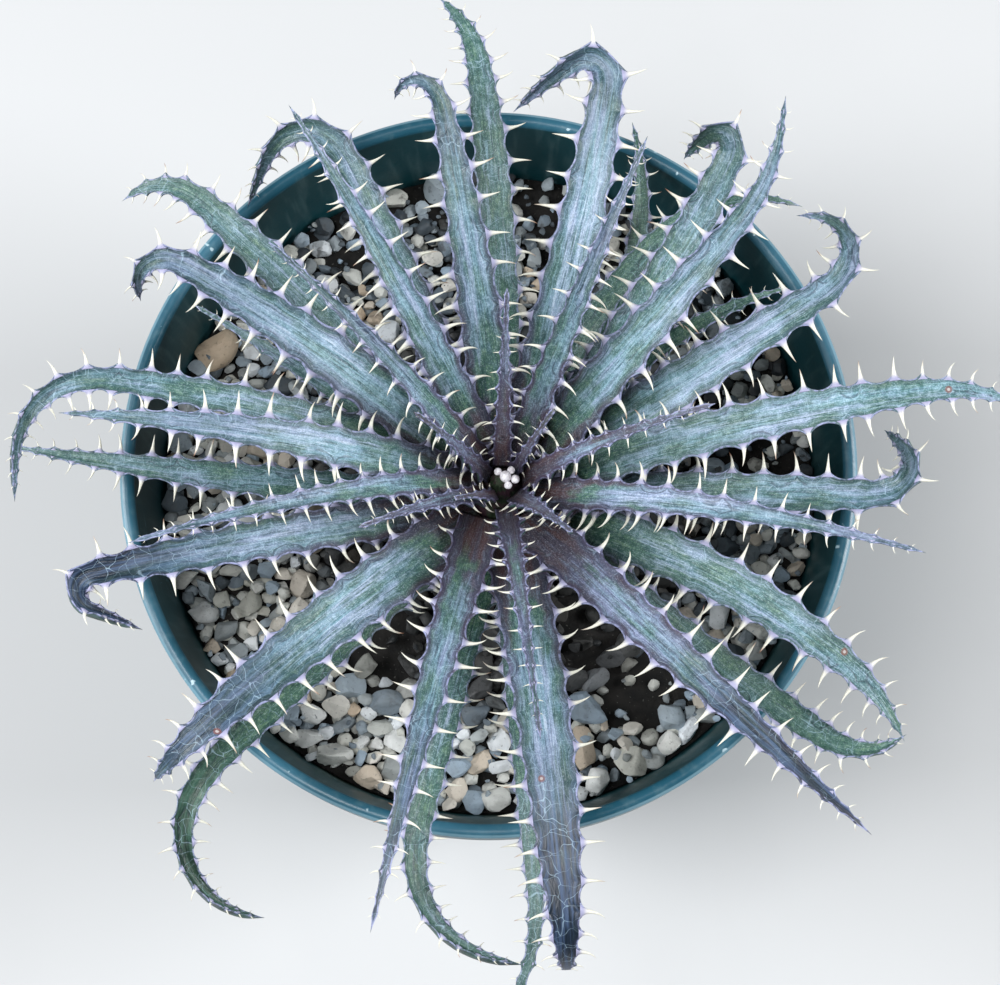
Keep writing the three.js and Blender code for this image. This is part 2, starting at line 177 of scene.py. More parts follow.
# Gravel: soil, a lower layer, an upper one of larger stones, and crumbs. Levels are those of the
# stones' middles, sizes are radii, and covers are shares of the bed.
GRAVEL_SEED = 7
SOIL_TOP = 88.4
SOIL_LUMPS = 0.6
SOIL_RINGS = 46
SOIL_SEGMENTS = 120
SOIL_PINHOLE = 0.02
LOWER_LEVEL = 89.3
UPPER_LEVEL = 90.9
LEVEL_SPREAD = 0.7
UPPER_SIZES = (1.35, 3.3)
LOWER_SIZES = (1.3, 2.2)
CRUMB_SIZES = (0.45, 1.1)
UPPER_COVER = 0.95
LOWER_COVER = 0.75
CRUMB_COVER = 0.09
SMALL_STONES = 1.7
FINE_STONE = 2.3
SETTLING_ROUNDS = 60
SETTLING_PUSH = 0.4

# A stone: length, width and depth as shares of its size, the flats worn on it and how near its
# middle they lie, its swelling and lumps, how flat it lies, and its sharpest soft edge.
STONE_LONG = 1.06
STONE_WIDE = (0.78, 1)
STONE_DEEP = (0.6, 0.9)
STONE_FLATS = 10
FLAT_PLACES = (0.5, 0.82)
FLAT_DEPTH = 0.97
STONE_SWELL = 1.2
STONE_LUMPS = 0.14
LUMPS_SCALE = 1.3
LYING_FLAT = 0.8
STONE_SHARPNESS = 32

# Stones get paler and larger this way, to the front left, and between these distances.
PALE_WAY = (-0.45, -0.9)
PALE_OVER = (-55, 35)

# Round the stem the gravel is painted dark and dirty: painted shade under the rosette, with some
# dampness. All of it is within the first radius.
SHADE_AND_DAMP_RING = (31, 52)

# Stones that stand out, for which others make room: place, radius and tint (see pebble_stone).
LANDMARK_ROOM = 0.8
LANDMARK_STONES = [
    (20.6, -46.7, 4.2, 0.47), (19.5, -55.4, 4, 0.79), (29.7, -57.9, 3.2, 0.6),
    (-58.3, 29.5, 4.4, 0.78), (-32.4, -56.5, 3.4, 0.7), (-50.9, -25.3, 3, 0.6),
    (-10.6, 65, 3.4, 0.5), (-20.4, 62.5, 3, 0.62), (1.5, -65.4, 2.9, 0.7),
]

# Places (x, y, radius) where soil shows for want of stones, and the share of stones left there.
STONES_LEFT = 0.22
BARE_PATCHES = [(31, -41, 10), (22, -31, 9), (-22, -34, 10), (12, 60, 7), (58, 43, 7), (58, 7, 8),
                (-30, 52, 6), (-8, 62, 5), (42, 52, 6)]

# Stem, with the ridges that old leaf bases left in a spiral.
STEM_RINGS = 90
STEM_SEGMENTS = 72
OLD_BASES_ROUND = 13
OLD_BASES_CLIMB = 1.1

# A leaf without a blemish has it far away: shares of its length, and millimetres.
NO_MARK = (9, 99)


@dataclass
class Leaf:
    """A leaf's form, in the CAD's own terms, and how it looks.

    roll turns the blade about its length near the tip, and fold deepens its channel there. look
    is how much silvery scurf, purple flush and darkness at the outer end it has, and mark the
    place of a blemish: share of the length, and millimetres to the left.
    """

    azimuth: float
    length: float
    width: float
    rise: float
    fall: float
    full: float
    look: tuple
    root: float = None
    swing: float = 0
    hook: float = 0
    curl: float = 0
    over: tuple = HOOK_OVER
    roll: float = 0
    fold: float = 0.1
    mark: tuple = NO_MARK


LEAVES = [
    Leaf(52, 80, 6, 28, 40, 4, (0.15, 0.1, 0.2), swing=52, fold=0.25),
    Leaf(274.5, 108, 7, 29, 55, 2.5, (0.3, 0.2, 0.4), hook=-40, over=(0.66, 1)),
    Leaf(149, 69, 6, 30, 35, 2, (0.4, 0.3, 0.3)),
    Leaf(315, 95, 7.5, 31, 50, 7, (0.25, 0.25, 0.2), root=335, swing=16, hook=60, roll=-38, fold=0.3),
    Leaf(66.5, 89, 6, 32, 50, 4, (0.2, 0.1, 0.2), root=65, swing=-45, hook=-35, over=(0.6, 1)),
    Leaf(225, 121, 7, 33, 60, 4, (0.05, 0.15, 0.8), root=223, curl=20, hook=130, over=(0.59, 1.04),
         roll=-58, fold=0.36),
    Leaf(180.5, 98, 8, 35, 55, 3, (0.5, 0.15, 0.2), root=182, swing=-13, fold=0.2),
    Leaf(116, 107, 9, 36, 55, 3.5, (0.5, 0.5, 0.4), curl=35, hook=122, over=(0.64, 0.9), roll=-48,
         fold=0.25),
    Leaf(256.5, 109, 6.5, 37, 60, 5, (0.25, 0.1, 0.4), hook=92, over=(0.6, 1), roll=-55, fold=0.36),
    Leaf(46, 69, 5, 38, 50, 4, (0.15, 0.1, 0.2), swing=-30),
    Leaf(90, 104, 8, 39, 65, 6, (0.35, 0.1, 0.1), swing=12, hook=30),
    Leaf(337.5, 97, 10.5, 41, 65, 4, (0.6, 0.2, 0.1), root=338, swing=-25, hook=-15, mark=(0.78, 1.5)),
    Leaf(196, 108, 9, 42, 65, 4, (0.7, 0.6, 0.9), swing=-6, curl=30, hook=150, over=(0.77, 0.88),
         roll=-50, fold=0.25),
    Leaf(138, 103, 9, 43, 65, 5, (0.42, 0.3, 0.2), curl=20, hook=65),
    Leaf(280, 110, 11.5, 44, 75, 4.5, (0.85, 0.6, 1), swing=-8, curl=60, mark=(0.577, -1.9)),
    Leaf(47, 106, 9.5, 45, 65, 4, (0.45, 0.3, 0.3), swing=27, curl=60, hook=118, over=(0.74, 0.87),
         roll=-50, fold=0.25),
    Leaf(351, 104, 9, 46, 70, 4, (0.65, 0.4, 0.3), root=5, swing=12, curl=40, hook=112, over=(0.69, 0.91),
         roll=-50, fold=0.25),
    Leaf(168.5, 122, 7.8, 49, 74, 3.2, (0.5, 0.3, 0.3), root=145, swing=10, curl=20, hook=85,
         over=(0.66, 0.95), roll=-50, fold=0.3),
    Leaf(222, 101, 12, 48, 68, 4, (0.8, 0.5, 0.75), curl=45, mark=(0.8, 2.2)),
    Leaf(69.5, 113, 10, 49, 70, 4, (0.98, 0.45, 0.45), root=75, swing=18, curl=30, hook=122,
         over=(0.73, 0.85), roll=-50, fold=0.25),
    Leaf(26, 105.5, 10.5, 50, 70, 3, (0.8, 0.45, 0.25), root=20, swing=9, curl=30, hook=130,
         over=(0.7, 0.99), roll=-48, fold=0.25),
    Leaf(309.5, 109, 10, 51, 68, 2.5, (0.75, 0.95, 0.95), swing=10),
    Leaf(147, 101, 11, 52, 70, 3.5, (0.9, 0.6, 0.45), root=146, swing=6, curl=60, hook=118,
         over=(0.78, 0.98), roll=-45, fold=0.25),
    Leaf(256.5, 103, 9.5, 53, 68, 1.8, (0.62, 0.85, 0.65), root=230, fold=0.2),
    Leaf(8, 112, 9, 54, 74, 4.5, (0.75, 0.2, 0), hook=-25, mark=(0.86, 0)),
    Leaf(98, 99, 9.5, 55, 74, 3, (0.68, 0.6, 0.5), root=99, swing=6, curl=60, hook=120, roll=-45,
         fold=0.25),
    Leaf(175.5, 96, 9.4, 56, 70, 2.5, (0.9, 0.45, 0.4), root=167),
    Leaf(41, 103, 10.5, 57, 70, 2.2, (0.8, 0.5, 0.3), swing=12, hook=28, over=(0.7, 0.95), fold=0.25),
    Leaf(345.5, 95, 7.5, 58, 66, 2, (0.75, 0.8, 0.3), fold=0.26),
    Leaf(121, 92, 9.2, 59, 66, 1.7, (0.82, 0.6, 0.3), swing=2, fold=0.24),
    Leaf(277, 71, 5.2, 60, 44, 1.5, (0.45, 0.95, 0.3), fold=0.26),
    Leaf(198, 89, 6, 61, 58, 2, (0.72, 0.8, 0.3), root=166, fold=0.26),
    Leaf(64, 82, 7, 62, 52, 2, (0.65, 0.8, 0.4), swing=2, fold=0.26),
    Leaf(140, 78, 6.5, 64, 48, 1.7, (0.6, 0.85, 0.4), fold=0.26),
    Leaf(207, 44, 4.5, 65, 35, 1.5, (0.4, 1, 0.2), fold=0.22),
    Leaf(10, 60, 5, 67, 38, 1.4, (0.45, 1, 0.2), root=14, fold=0.22),
    Leaf(88, 50, 4.2, 69, 30, 1.6, (0.3, 1, 0.2), root=95, fold=0.22),
    Leaf(311, 36, 4.5, 71, 22, 1.5, (0.35, 1, 0.2), fold=0.22),
    Leaf(155, 36, 3.6, 72, 20, 1.5, (0.25, 1, 0.2), fold=0.22),
    Leaf(46, 27, 2.6, 73, 18, 1.5, (0.2, 1, 0.2), root=44),
    Leaf(205, 20, 2.6, 70, 15, 1.5, (0.2, 1, 0.2), root=240),
]

LEAF_SLOTS = ((34, "leaf_heart"), (14, "leaf_upper"), (0, "leaf_lower"))

# White granules lying in the heart: place round the stem's axis, and radius.
GRANULE_SEED = 3
GRANULES = [(0.4, 0.2, 1.2), (2.3, -0.3, 0.9), (1.5, 1.5, 0.8), (-1.1, 1.2, 0.8), (0.9, -1.5, 0.8)]


# -------- helpers

def between(pair, share):
    """The value that lies at a share of the way between two."""
    return pair[0] + (pair[1] - pair[0]) * share


def smooth(value, low, high):
    """0 below low, 1 above high, and an even rise between."""
    share = np.clip((np.asarray(value, float) - low) / (high - low), 0, 1)
    return share * share * (3 - 2 * share)


def linear(shade):
    """Blender's linear values of a screen colour in hex. A socket stays as it is."""
    if not isinstance(shade, str):
        return shade
    parts = [value / 255 for value in bytes.fromhex(shade)]
    return (*(((part + 0.055) / 1.055) ** 2.4 if part > 0.04 else part / 12.92 for part in parts), 1)


def new_object(name, data):
    """An object in the scene that holds a mesh, light or camera."""
    made = bpy.data.objects.new(name, data)
    bpy.context.scene.collection.objects.link(made)
    return made


def add_piece(name, points, faces, materials, slot, node, face_materials=None, **attributes):
    """A piece that stands for a CAD node: its mesh in metres, its finish and its body."""
    mesh = bpy.data.meshes.new(name)
    mesh.from_pydata((np.asarray(points) * MM).tolist(), [], faces)
    for attribute, values in attributes.items():
        layer = mesh.attributes.new(attribute, "FLOAT_VECTOR", "POINT")
        layer.data.foreach_set("vector", np.asarray(values, np.float32).ravel())
    for material in materials:
        mesh.materials.append(material)
    if face_materials is not None:
        mesh.polygons.foreach_set("material_index", face_materials)
    mesh.validate()
    mesh.shade_smooth()
    piece = new_object(name, mesh)
    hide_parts(node)
    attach(piece, "root")
    return piece


def tube_faces(rings, sides, pointed=False):
    """The faces of a closed tube: its rings, a flat first end, and a flat or pointed last one."""
    faces = []
    for ring in range(rings - 1):
        here = ring * sides
        for side in range(sides):
            beside = (side + 1) % sides
            faces.append((here + side, here + beside, here + sides + beside, here + sides + side))
    faces.append(tuple(range(sides - 1, -1, -1)))
    last = (rings - 1) * sides
    if pointed:
        tip = rings * sides
        faces += [(last + side, last + (side + 1) % sides, tip) for side in range(sides)]
    else:
        faces.append(tuple(last + side for side in range(sides)))
    return faces


def circle(sides):
    """Cosine and sine at even steps round a circle."""
    turns = [2 * pi * side / sides for side in range(sides)]
    return [(cos(turn), sin(turn)) for turn in turns]


def renumbered(faces, first):
    """Faces whose points come after the first ones of a larger mesh."""
    return [tuple(first + corner for corner in face) for face in faces]


class Skin:
    """A material, built node by node. Each method returns the socket that holds its result.

    base is the surface's colour so far, and paint lays the next coat over it. A colour is a
    socket or a screen colour in hex.
    """

    def __init__(self, name, roughness=0.5):
        self.material = bpy.data.materials.new(name)
        self.material.use_nodes = True
        self.tree = self.material.node_tree
        self.shader = self.tree.nodes["Principled BSDF"]
        self.shader.inputs["Roughness"].default_value = roughness
        self.base = None

    def node(self, kind, inputs, output=0, **settings):
        """A shader node of a kind, with sockets or plain values as its inputs."""
        made = self.tree.nodes.new(f"ShaderNode{kind}")
        for key, value in settings.items():
            setattr(made, key, value)
        for key, value in inputs.items():
            if isinstance(value, bpy.types.NodeSocket):
                self.tree.links.new(value, made.inputs[key])
            else:
                made.inputs[key].default_value = value
        return made.outputs[output]

    def place(self):
        """The point on the object, in metres."""
        return self.node("TexCoord", {}, output="Object")

    def attribute(self, name):
        """A vector kept on the mesh."""
        return self.node("Attribute", {}, output="Vector", attribute_name=name)

    def parts(self, vector):
        """The three numbers of a vector."""
        return self.node("SeparateXYZ", {"Vector": vector}).node.outputs[:]

    def length(self, vector):
        return self.node("VectorMath", {0: vector}, output="Value", operation="LENGTH")

    def maths(self, operation, first, second=0.0, third=0.0):
        return self.node("Math", {0: first, 1: second, 2: third}, operation=operation)

    def times(self, result, *factors):
        for factor in factors:
            result = self.maths("MULTIPLY", result, factor)
        return result

    def total(self, *weighted):
        """The sum of (value, weight) pairs."""
        result = 0.0
        for value, weight in weighted:
            result = self.maths("MULTIPLY_ADD", value, weight, result)
        return result

    def stretched(self, vector, scale):
        return self.node("VectorMath", {0: vector, 1: scale}, operation="MULTIPLY")

    def noise(self, vector, scale, detail=3, distortion=0.0, output="Fac"):
        """Soft random values, from 0 to 1. The scale may be a triple, one for each axis."""
        if isinstance(scale, tuple):
            vector = self.stretched(vector, scale)
            scale = 1
        return self.node("TexNoise", {
            "Vector": vector, "Scale": scale, "Detail": detail, "Distortion": distortion,
        }, output=output)

    def web(self, vector, width):
        """Thin lines between cells."""
        off = self.node("TexVoronoi", {"Vector": vector, "Scale": 1},
                        output="Distance", feature="DISTANCE_TO_EDGE")
        return self.rise(off, 0, width, 1, 0)

    def rise(self, value, low, high, start=0.0, end=1.0):
        """A value brought from low..high to start..end, smoothly and held at both ends."""
        return self.node("MapRange", {
            "Value": value, "From Min": low, "From Max": high, "To Min": start, "To Max": end,
        }, interpolation_type="SMOOTHSTEP")

    def lines(self, value, width):
        """Thin lines where a value passes its middle."""
        off = self.maths("ABSOLUTE", self.maths("SUBTRACT", value, 0.5))
        return self.rise(off, 0, width, 1, 0)

    def mix(self, factor, first, second):
        """A blend of two colours."""
        return self.node("Mix", {0: factor, 6: linear(first), 7: linear(second)},
                         output=2, data_type="RGBA")

    def shades(self, value, low, high, first, second):
        """A colour that turns from first to second as a value goes from low to high."""
        return self.mix(self.rise(value, low, high), first, second)

    def ramp(self, value, stops):
        """A colour from a list of (place, colour)."""
        blend = self.node("ValToRGB", {"Fac": value})
        elements = blend.node.color_ramp.elements
        while len(elements) < len(stops):
            elements.new(0.5)
        for element, (position, shade) in zip(elements, stops):
            element.position = position
            element.color = linear(shade)
        return blend

    def paint(self, factor, coat):
        """Lay a coat over the colour so far, as thickly as factor says, 0 to 1."""
        self.base = self.mix(factor, self.base, coat)

    def finish(self, height=None, relief=0.0, strength=1.0, roughness=None):
        """The colour, the relief (its height in millimetres) and the gloss go to the shader."""
        self.tree.links.new(self.base, self.shader.inputs["Base Color"])
        if roughness is not None:
            self.tree.links.new(roughness, self.shader.inputs["Roughness"])
        if height is not None:
            bump = self.node("Bump", {
                "Height": height, "Distance": relief * MM, "Strength": strength,
            })
            self.tree.links.new(bump, self.shader.inputs["Normal"])
        return self.material


# -------- materials

def leaf_skin():
    """Green skin under silvery scurf in fine lengthwise streaks, flushed purple at its edges."""
    skin = Skin("leaf_skin")
    rise, times, paint = skin.rise, skin.times, skin.paint
    lengthwise = skin.attribute("place")
    along, across, under = skin.parts(skin.attribute("spread"))
    silver, purple, dusk = skin.parts(skin.attribute("tone"))
    inset, _, _ = skin.parts(skin.attribute("margin"))
    edge = skin.maths("ABSOLUTE", across)

    hairs = skin.noise(lengthwise, (0.2, 4.2, 1))
    streaks = skin.noise(lengthwise, (0.1, 1.5, 1))
    bands = skin.noise(lengthwise, (0.04, 0.5, 1), detail=2)
    patches = skin.noise(lengthwise, (0.12, 0.3, 1))
    grain = skin.noise(lengthwise, (3, 5, 1), detail=2)
    mottle = skin.noise(lengthwise, 1.1)
    skin.base = skin.ramp(skin.total((mottle, 0.6), (hairs, 0.4)), [
        (0.36, "2a4c3a"), (0.5, "487058"), (0.64, "749670"),
    ])

    # Purple and brown-red: at the inner half's margins, the root, and all over young leaves.
    at_edge = times(rise(edge, 0.3, 0.95), rise(along, 0.7, 0.15, 0.15, 1.5))
    at_root = rise(along, 0.34, 0.05, 0, 1.15)
    youth = rise(purple, 0.88, 1, 0, 0.8)
    uneven = rise(patches, 0.35, 0.65, -0.35, 0.35)
    flush_place = skin.total((at_edge, 1), (at_root, 1), (youth, 1), (uneven, 1))
    flush = skin.shades(bands, 0.4, 0.6, "582c2a", "4a3646")
    paint(rise(times(flush_place, purple), 0.1, 0.7, 0, 0.92), flush)

    # Scurf: a thin even bloom, and fine streaks, thickest in the middle of the leaf.
    cover = times(silver, rise(along, 0.08, 0.42), rise(along, 1, 0.65, 0.6, 1),
                  rise(edge, 1, 0.3, 0.45, 1))
    lavender = times(rise(purple, 0.25, 0.95, 0, 0.75), rise(bands, 0.38, 0.6, 0.4, 1))
    bloom = skin.shades(mottle, 0.4, 0.6, "62929e", "86a4c6")
    bloom = skin.mix(lavender, bloom, "8a8ec0")
    paint(times(cover, rise(patches, 0.35, 0.62, 0.2, 0.95)), bloom)
    scurf = skin.total((hairs, 0.75), (streaks, 0.7), (bands, 0.35), (patches, 0.6),
                       (mottle, 0.3), (cover, 0.44))
    paint(rise(scurf, 1.47, 1.87, 0, 0.72),
          skin.shades(bands, 0.35, 0.65, "94c0d0", "b2c0e4"))
    paint(rise(scurf, 1.76, 2.02, 0, 0.6), "daeafa")
    furrows = skin.total((hairs, 0.6), (streaks, 0.4))
    paint(rise(furrows, 0.47, 0.34, 0, 0.4), "243846")
    paint(rise(grain, 0.38, 0.6, 0.32, 0), "304a5c")
    paint(rise(grain, 0.52, 0.72, 0, 0.32), "cedef0")

    # Towards the margins the skin is duskier with painted shade, and the outer end of some leaves is
    # dark.
    paint(times(rise(edge, 0.45, 0.9, 0, 0.45), rise(mottle, 0.35, 0.6, 0.5, 1)), "2c3c4e")
    outer = times(dusk, rise(along, 0.4, 0.78, 0, 1.15), rise(patches, 0.3, 0.6, 0.8, 1))
    dark_blue = skin.shades(streaks, 0.4, 0.66, "162230", "3c506e")
    dark_green = skin.shades(streaks, 0.4, 0.66, "1a3226", "3a6050")
    paint(outer, skin.shades(silver, 0.2, 0.55, dark_green, dark_blue))

    # A web of thin pale cracks, and the dark print that a neighbour's margin once left.
    warp = skin.noise(lengthwise, (0.3, 0.3, 1), detail=1, output="Color")
    web_place = skin.node("VectorMath", {
        0: skin.stretched(lengthwise, (0.36, 0.28, 1)), 1: skin.stretched(warp, (1.2, 1.2, 0)),
    }, operation="ADD")
    paint(times(skin.web(web_place, 0.022), rise(patches, 0.38, 0.6, 0.14, 0.55),
                rise(along, 0.1, 0.4, 0.3, 1)), "b2cee0")
    print_depth = skin.total((inset, 1), (rise(bands, 0.3, 0.7, -0.5, 0.5), 1))
    off_print = skin.maths("ABSOLUTE", skin.maths("SUBTRACT", print_depth, 1.6))
    print_line = times(rise(off_print, 0.08, 0.3, 0.5, 0), rise(patches, 0.53, 0.6))
    paint(print_line, "222e3a")

    # The margin: a dusky band under a thin lilac rim.
    paint(times(purple, rise(inset, 1.1, 0.4, 0, 0.45), rise(along, 0.8, 0.3, 0.4, 1)),
          "403250")
    paint(times(rise(inset, 0.32, 0.08), rise(mottle, 0.38, 0.62, 0.1, 0.85),
                rise(along, 0.1, 0.45, 0.3, 1)), "a4aad2")

    # A blemish: a pale spot in a rusty ring.
    from_blemish = skin.length(skin.attribute("mark"))
    paint(rise(from_blemish, 0.85, 0.5, 0, 0.75), "804c42")
    paint(rise(from_blemish, 0.38, 0.2, 0, 0.7), "c8c4c2")

    paint(times(under, 0.85), skin.shades(streaks, 0.4, 0.62, "18362e", "3a6254"))
    relief = skin.total((streaks, 1), (bands, 1), (hairs, 0.5), (print_line, -0.5))
    return skin.finish(relief, 0.45, 0.7, roughness=rise(streaks, 0.3, 0.7, 0.32, 0.5))


def spine_horn():
    """Cream horn, lilac where it leaves the margin and brown at some of the tips."""
    skin = Skin("spine_horn", roughness=0.42)
    outward, brown, _ = skin.parts(skin.attribute("spread"))
    grain = skin.noise(skin.attribute("place"), 2.5, detail=2)
    skin.base = skin.mix(grain, "d0cebc", "f2f1e6")
    skin.paint(skin.rise(outward, 0.06, 0.36, 0.9, 0), "9898be")
    skin.paint(skin.times(skin.rise(outward, 0.55, 0.95), brown), "8e542c")
    return skin.finish(grain, relief=0.1, strength=0.4)


def pot_plastic():
    """Matt blue-green moulded plastic: darkened inside with painted shade and muddy there, worn and paler
    on the rim, its outer bead partly a painted highlight.
    """
    skin = Skin("pot_plastic")
    rise, times, paint = skin.rise, skin.times, skin.paint
    place = skin.place()
    in_millimetres = skin.stretched(place, (1 / MM, 1 / MM, 1 / MM))
    _, y, z = skin.parts(in_millimetres)
    from_axis = skin.length(skin.stretched(in_millimetres, (1, 1, 0)))
    cloud = skin.noise(place, 30, detail=4)
    grain = skin.noise(place, 700, detail=2)
    skin.base = skin.shades(cloud, 0.35, 0.65, "124c58", "1c5c68")

    # Inside, the distance from the axis is less than the middle of the wall's at that height.
    slope = tan(radians(WALL_TAPER))
    wall_foot = RIM_RADIUS - RIM_BAND + WALL_THICKNESS / 2 - POT_HEIGHT * slope
    wall = skin.maths("MULTIPLY_ADD", z, slope, wall_foot)
    from_wall = skin.maths("SUBTRACT", from_axis, wall)
    below_rim = rise(z, POT_HEIGHT - 0.6, POT_HEIGHT - 1.6)
    inside = times(rise(from_wall, 0.2, -0.2), below_rim)
    # Painted shade: the inside wall is darkened as if the pot's own wall shaded it.
    paint(times(inside, 0.75), "083236")
    low_front = times(rise(z, 106, 92), rise(y, -20, -60, 0.15, 1))
    dusty = rise(skin.noise(place, 60, detail=5), 0.45, 0.7, 0, 0.4)
    paint(times(low_front, inside, dusty), "5c5c48")

    # The rim: worn paler, with a pale outer bead that is partly wear and partly a painted highlight, and
    # small nicks.
    rim_foot = POT_HEIGHT - RIM_CROWN - 0.6
    rim = rise(z, rim_foot, rim_foot + 0.3)
    paint(rim, skin.shades(cloud, 0.35, 0.65, "205062", "3c7086"))
    bead_wear_and_highlight = rise(from_axis, RIM_RADIUS - 0.75, RIM_RADIUS - 0.45, 0, 0.3)
    paint(times(rim, bead_wear_and_highlight), "b0d6e6")
    nicks = rise(skin.noise(place, 380, detail=2), 0.68, 0.73, 0, 0.8)
    paint(times(rim, nicks), "c4dee8")

    # Faint scuffs and streaks of dried water on the outside.
    scuffs = skin.lines(skin.noise(place, (60, 60, 120), detail=2, distortion=0.8), 0.006)
    worn = times(scuffs, rise(cloud, 0.52, 0.66, 0, 0.45))
    paint(worn, "78a8b6")
    drips = skin.noise(place, (420, 420, 9))
    paint(rise(drips, 0.48, 0.75, 0, 0.14), "84a0a2")
    relief = skin.total((grain, 1), (worn, -0.6))
    gloss = skin.maths("SUBTRACT", rise(cloud, 0.3, 0.7, 0.36, 0.5), times(rim, 0.08))
    return skin.finish(relief, 0.12, 0.35, roughness=gloss)


def pebble_stone():
    """Rounded stones, each of its own colour: cream, grey, blue-grey, tan or white."""
    skin = Skin("pebble_stone")
    tint, dust_and_shade, shade_and_damp = skin.parts(skin.attribute("spread"))
    place = skin.place()
    speckle = skin.noise(place, 1400)
    cloud = skin.noise(place, 260)
    skin.base = skin.ramp(tint, [
        (0.0, "262b30"), (0.1, "4a545c"), (0.22, "7a8894"),
        (0.34, "9a9e9c"), (0.46, "94a8ba"), (0.58, "c2c2b8"),
        (0.7, "d4d6d2"), (0.78, "c4b098"), (0.84, "dcdcd6"),
        (1.0, "e6ecf2"),
    ])
    skin.paint(skin.rise(cloud, 0.45, 0.75, 0, 0.28), "767874")
    skin.paint(skin.rise(speckle, 0.6, 0.75, 0, 0.5), "464440")
    soil = skin.rise(skin.noise(place, 420), 0.54, 0.68, 0, 0.7)
    # Soil on the stones, thickened round the stem as painted shade.
    skin.paint(skin.times(soil, dust_and_shade), "2e261e")
    # Painted shade under the rosette: near black round the stem, with some dampness.
    skin.paint(skin.rise(shade_and_damp, 0, 0.8, 0, 0.96), "0c0d0e")
    relief = skin.total((cloud, 2), (speckle, 1))
    return skin.finish(relief, 0.3, 0.6, roughness=skin.rise(cloud, 0.3, 0.7, 0.5, 0.8))


def dark_soil(name):
    """Damp peaty soil with pale specks of sand; its near-black colour is partly painted shade of the gaps
    between stones.
    """
    skin = Skin(name, roughness=0.9)
    place = skin.place()
    lumps = skin.noise(place, 320, detail=4)
    specks = skin.noise(place, 1600, detail=1)
    # Near black: the soil's dark colour is deepened with painted shade of the gaps between stones.
    skin.base = skin.shades(lumps, 0.35, 0.65, "080808", "1c1a18")
    skin.paint(skin.rise(specks, 0.7, 0.76, 0, 0.6), "60605c")
    return skin.finish(lumps, relief=1.0, strength=0.9)


def stem_bark():
    """Fibrous bark of old leaf bases, brown at the foot and dark green and purple at the crown."""
    skin = Skin("stem_bark", roughness=0.7)
    place = skin.place()
    _, _, z = skin.parts(place)
    fibres = skin.noise(place, (900, 900, 90), detail=4)
    cloud = skin.noise(place, 320)
    skin.base = skin.mix(fibres, "32281c", "847252")
    crown = skin.rise(z, CROWN_FOOT * MM, (CROWN_FOOT + 8) * MM)
    skin.paint(crown, skin.shades(cloud, 0.4, 0.6, "22341e", "3a202c"))
    return skin.finish(fibres, relief=0.5, strength=0.8)


def granule_white():
    """Chalky white coating with a few dull spots."""
    skin = Skin("granule_white", roughness=0.6)
    spots = skin.noise(skin.place(), 1500)
    skin.base = skin.shades(spots, 0.4, 0.65, "f4f2f6", "cec8ce")
    return skin.finish(spots, relief=0.15, strength=0.6)


def floor_paper():
    """Plain pale studio floor."""
    skin = Skin("floor_paper", roughness=0.9)
    soft = skin.noise(skin.place(), 2, detail=2)
    skin.base = skin.mix(soft, "c4c5c6", "cacbcc")
    return skin.finish()


# -------- leaves

def crown_radius(height):
    share = (height - CROWN_FOOT) / (CROWN_TOP - CROWN_FOOT)
    return between((CROWN_FOOT_RADIUS, CROWN_TOP_RADIUS), share)


def half_width(leaf, t, at_base=SHEATH_WIDTH):
    """Half the blade's width at shares t of the leaf's length."""
    spread = between((at_base, 1), smooth(t, 0, WIDEST_AT))
    return 0.5 * leaf.width * spread * (1 - t ** leaf.full)


class Midline:
    """The line that a leaf follows, found as the CAD finds it."""

    def __init__(self, leaf, root_height):
        self.leaf = leaf
        root = radians(leaf.azimuth if leaf.root is None else leaf.root)
        askew = abs(sin(radians(leaf.azimuth) - root))
        reach = crown_radius(root_height) + CLEARANCE + askew * half_width(leaf, 0, BASE_WIDTH)
        start = np.array([PLANT_X + reach * cos(root), PLANT_Y + reach * sin(root), root_height])
        middles = (np.arange(MIDLINE_STEPS) + 0.5) / MIDLINE_STEPS
        steps = self.directions(middles)[0] * leaf.length / MIDLINE_STEPS
        self.points = np.vstack([start, start + np.cumsum(steps, axis=0)])

    def directions(self, t):
        """Unit vectors along the leaf and level to its left, at shares t of its length."""
        leaf = self.leaf
        late = smooth(t, *leaf.over)
        heading = np.radians(leaf.azimuth + leaf.swing * t ** BEND + leaf.hook * late)
        slope = np.radians(leaf.rise - leaf.fall * t ** BEND - leaf.curl * late)
        along = [np.cos(slope) * np.cos(heading), np.cos(slope) * np.sin(heading), np.sin(slope)]
        left = [-np.sin(heading), np.cos(heading), np.zeros_like(t)]
        return np.stack(along, axis=-1), np.stack(left, axis=-1)

    def frames(self, t):
        """Place, and the directions along, to the left and up, at each share t."""
        shares = np.linspace(0, 1, MIDLINE_STEPS + 1)
        place = np.stack([np.interp(t, shares, self.points[:, axis]) for axis in range(3)], -1)
        along, left = self.directions(t)
        up = np.cross(along, left)
        roll = np.radians(self.leaf.roll * smooth(t, *self.leaf.over))[..., None]
        return (place, along, left * np.cos(roll) + up * np.sin(roll),
                up * np.cos(roll) - left * np.sin(roll))


def spine_rows(leaf, chance):
    """The spines of one margin, closing up to the tip: share of the length, and of the row."""
    span = SPINES_TO - SPINES_FROM
    pitch = SPINE_PITCH * sqrt(min(leaf.width, FULL_SPINES_WIDTH) / FULL_SPINES_WIDTH)
    count = round(leaf.length * span / pitch)
    rows = []
    for i in range(count):
        share = i / (count - 1)
        crowded = (1 + SPINE_CROWDING) * share - SPINE_CROWDING * share ** 3
        shift = chance.uniform(-1, 1) * between(SPINE_SHIFT, share) * span / count
        rows.append((SPINES_FROM + span * crowded + shift, share))
    return rows


def scallop_size(leaf, t):
    """How much of the full scallop a margin has: less where the leaf is narrow."""
    return np.minimum(1, 2 * half_width(leaf, t) / FULL_SCALLOP_WIDTH)


